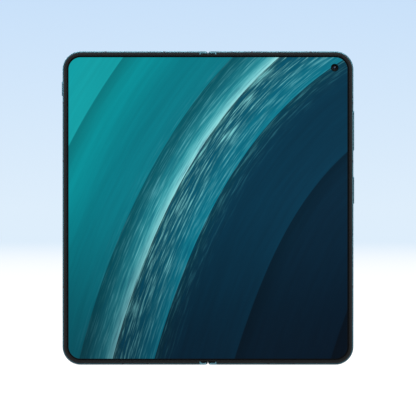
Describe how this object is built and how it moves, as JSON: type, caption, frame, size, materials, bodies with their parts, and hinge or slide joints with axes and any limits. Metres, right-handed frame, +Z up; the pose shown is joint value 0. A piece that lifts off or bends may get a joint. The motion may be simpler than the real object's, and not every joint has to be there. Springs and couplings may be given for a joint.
{
  "type": "foldable smartphone",
  "caption": "Book-style folding phone, opened flat, with a large bending inner display, a geared hinge under a metal spine, side keys and a round rear camera island.",
  "frame": {"origin": "middle of the bottom edge of the open phone, halfway through its depth from the bezel's face to the camera island's crown", "axes": "+Z up along the fold line, -Y out of the inner display, +X towards the camera half's outer edge (the right edge seen from the inner display)"},
  "size_m": [0.1434, 0.0088, 0.1536],
  "materials": {
    "teal_metal": "bead-blasted anodised aluminium, dark teal",
    "hinge_metal": "satin anodised alloy, lighter teal",
    "key_metal": "satin anodised aluminium keys",
    "band_resin": "moulded resin antenna bands",
    "bezel_film": "soft dark grey flexible bezel",
    "display_panel": "lit flexible display under a polished cover film",
    "rear_panel": "frosted coloured back glass",
    "cover_panel": "polished black cover glass",
    "camera_glass": "polished black camera glass",
    "lens_barrel": "blackened lens barrels with coated glass",
    "flash_resin": "clear ribbed flash lens",
    "battery_foil": "black wrapped pouch cell",
    "board": "solder-masked circuit board",
    "shield_steel": "tinned sheet steel",
    "speaker_plastic": "moulded speaker box",
    "hinge_steel": "sintered and ground hinge steel",
    "magnet": "nickel-plated magnets",
    "flex_film": "amber flexible circuit film"
  },
  "bodies": {
    "right_half": {"right_frame": "teal_metal", "right_antenna_bands": "band_resin", "right_bezel": "bezel_film", "right_display": "display_panel", "rear_glass": "rear_panel", "camera_ring": "hinge_metal", "camera_window": "camera_glass", "wide_camera": "lens_barrel", "ultrawide_camera": "lens_barrel", "telephoto_camera": "lens_barrel", "flash_lens": "flash_resin", "inner_camera": "lens_barrel", "right_battery": "battery_foil", "main_board": "board", "board_shields": "shield_steel", "usb_c_socket": "shield_steel", "loudspeaker": "speaker_plastic", "key_switches": "shield_steel", "card_reader": "shield_steel", "right_magnets": "magnet", "right_hinge_caps": "hinge_metal", "right_swing_arms": "hinge_steel", "right_arm_screws": "hinge_steel"},
    "left_half": {"left_frame": "teal_metal", "left_antenna_bands": "band_resin", "left_bezel": "bezel_film", "left_display": "display_panel", "cover_glass": "cover_panel", "cover_display": "cover_panel", "cover_camera": "lens_barrel", "left_battery": "battery_foil", "left_board": "board", "earpiece": "speaker_plastic", "vibration_motor": "shield_steel", "slider_switch": "shield_steel", "left_magnets": "magnet", "left_hinge_caps": "hinge_metal", "left_swing_arms": "hinge_steel", "left_arm_screws": "hinge_steel"},
    "spine": {"spine_cover": "hinge_metal", "hinge_bases": "hinge_steel", "hinge_pins": "hinge_steel", "idler_pins": "hinge_steel", "disc_springs": "hinge_steel", "centre_support": "hinge_steel", "bending_display": "display_panel", "bending_bezel": "bezel_film", "hinge_flex": "flex_film"},
    "right_plate": {"right_support_plate": "hinge_steel"},
    "left_plate": {"left_support_plate": "hinge_steel"},
    "right_idlers": {"right_idler_gears": "hinge_steel"},
    "left_idlers": {"left_idler_gears": "hinge_steel"},
    "power_key": {"power_key": "key_metal"},
    "volume_rocker": {"volume_rocker": "key_metal"},
    "alert_slider": {"alert_slider": "key_metal"},
    "card_tray": {"card_tray": "key_metal"}
  },
  "joints": [
    {"name": "fold_right", "type": "hinge", "parent": "spine", "child": "right_half", "pos_m": [0.0026, -0.0018, 0], "axis": [0, 0, -1], "range_deg": [0, 90], "deforming": ["bending_display", "bending_bezel", "hinge_flex"]},
    {"name": "fold_left", "type": "hinge", "parent": "spine", "child": "left_half", "pos_m": [-0.0026, -0.0018, 0], "axis": [0, 0, 1], "range_deg": [0, 90]},
    {"name": "right_idler_turn", "type": "hinge", "parent": "spine", "child": "right_idlers", "pos_m": [0.0007, -0.0018, 0], "axis": [0, 0, 1], "range_deg": [0, 155]},
    {"name": "left_idler_turn", "type": "hinge", "parent": "spine", "child": "left_idlers", "pos_m": [-0.0007, -0.0018, 0], "axis": [0, 0, -1], "range_deg": [0, 155]},
    {"name": "right_plate_tilt", "type": "hinge", "parent": "right_half", "child": "right_plate", "pos_m": [0.0071, -0.0031, 0], "axis": [0, 0, -1], "range_deg": [0, 20]},
    {"name": "left_plate_tilt", "type": "hinge", "parent": "left_half", "child": "left_plate", "pos_m": [-0.0071, -0.0031, 0], "axis": [0, 0, 1], "range_deg": [0, 20]},
    {"name": "power_press", "type": "slide", "parent": "right_half", "child": "power_key", "axis": [-1, 0, 0], "range_m": [0, 0.00025], "stiffness_N_per_m": 4000},
    {"name": "volume_rock", "type": "hinge", "parent": "right_half", "child": "volume_rocker", "pos_m": [0.0689, -0.00145, 0.1147], "axis": [0, 1, 0], "range_deg": [-1.3, 1.3], "stiffness_Nm_per_rad": 0.26},
    {"name": "alert_slide", "type": "slide", "parent": "left_half", "child": "alert_slider", "axis": [0, 0, 1], "range_m": [-0.0016, 0.0016]},
    {"name": "tray_slide", "type": "slide", "parent": "right_half", "child": "card_tray", "axis": [0, 0, 1], "range_m": [0, 0.013]}
  ],
  "couplings": [
    {"joint": "fold_left", "follows": "fold_right", "ratio": 1},
    {"joint": "right_idler_turn", "follows": "fold_right", "ratio": 1.7143},
    {"joint": "left_idler_turn", "follows": "fold_right", "ratio": 1.7143},
    {"joint": "right_plate_tilt", "follows": "fold_right", "ratio": 0.22222},
    {"joint": "left_plate_tilt", "follows": "fold_right", "ratio": 0.22222}
  ]
}
